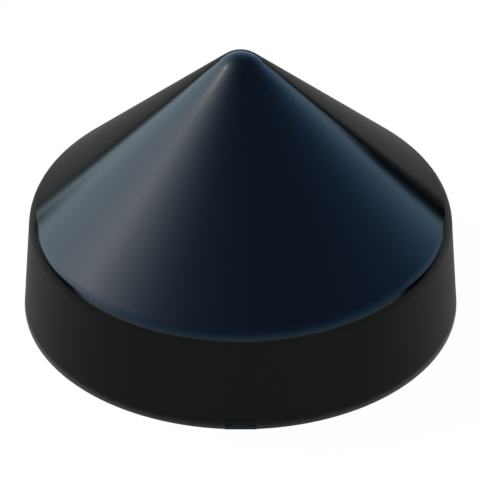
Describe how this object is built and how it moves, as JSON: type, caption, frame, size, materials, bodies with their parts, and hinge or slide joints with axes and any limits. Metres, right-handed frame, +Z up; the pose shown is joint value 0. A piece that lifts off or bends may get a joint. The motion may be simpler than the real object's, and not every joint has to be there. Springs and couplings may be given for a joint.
{
  "type": "pile cap",
  "caption": "Conical moulded plastic cap that slips over the head of a round pile: drafted skirt, steep cone with a rounded tip, open underneath.",
  "frame": {"origin": "on the cap's axis, in the plane of the rim", "axes": "+Z up along the cap's axis to the tip; -Y the front, where the trimmed gate is"},
  "size_m": [0.3216, 0.3229, 0.2285],
  "materials": {
    "black_polyethylene": "moulded, smooth, semi-gloss, coloured through with carbon black"
  },
  "bodies": {
    "root": {"pile_cap": "black_polyethylene"}
  },
  "joints": []
}
